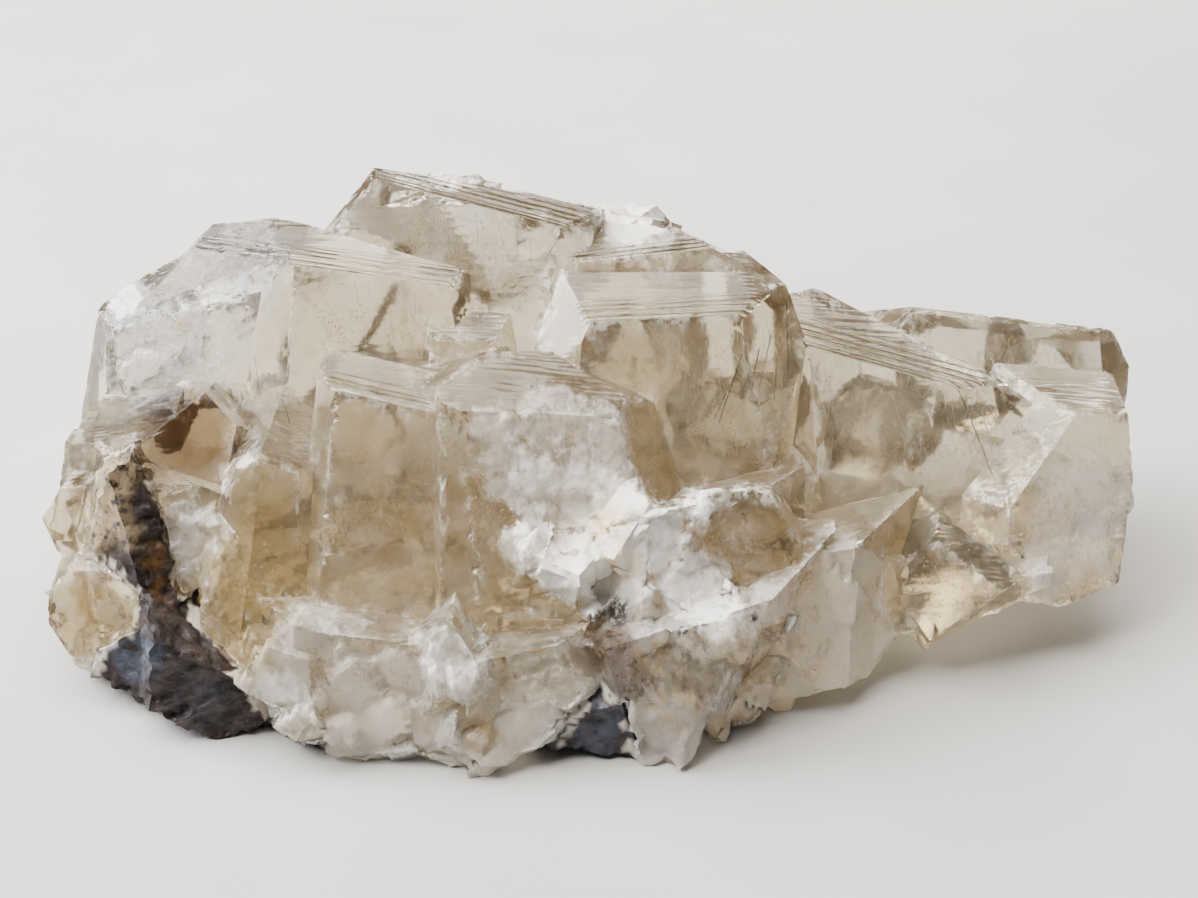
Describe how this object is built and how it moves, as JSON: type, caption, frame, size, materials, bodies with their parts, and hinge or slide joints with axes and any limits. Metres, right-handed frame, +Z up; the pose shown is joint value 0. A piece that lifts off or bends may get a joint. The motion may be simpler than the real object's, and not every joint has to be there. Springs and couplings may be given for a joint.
{
  "type": "quartz specimen",
  "caption": "Natural cluster of intergrown smoky-clear quartz crystals on a milky broken base, with a blade of dark host rock along one end.",
  "frame": {"origin": "under the middle of the specimen's bounding box, on the surface that it rests on", "axes": "+X along the length, towards the narrow lifted end; -Y towards the shown front; +Z up"},
  "size_m": [0.1734, 0.095, 0.0614],
  "materials": {
    "quartz": "smoky-clear crystal with milky white patches",
    "host_rock": "dark brown and blue-black rock with a dull sheen"
  },
  "bodies": {
    "root": {"quartz_cluster": "quartz", "host_rock": "host_rock"}
  },
  "joints": []
}
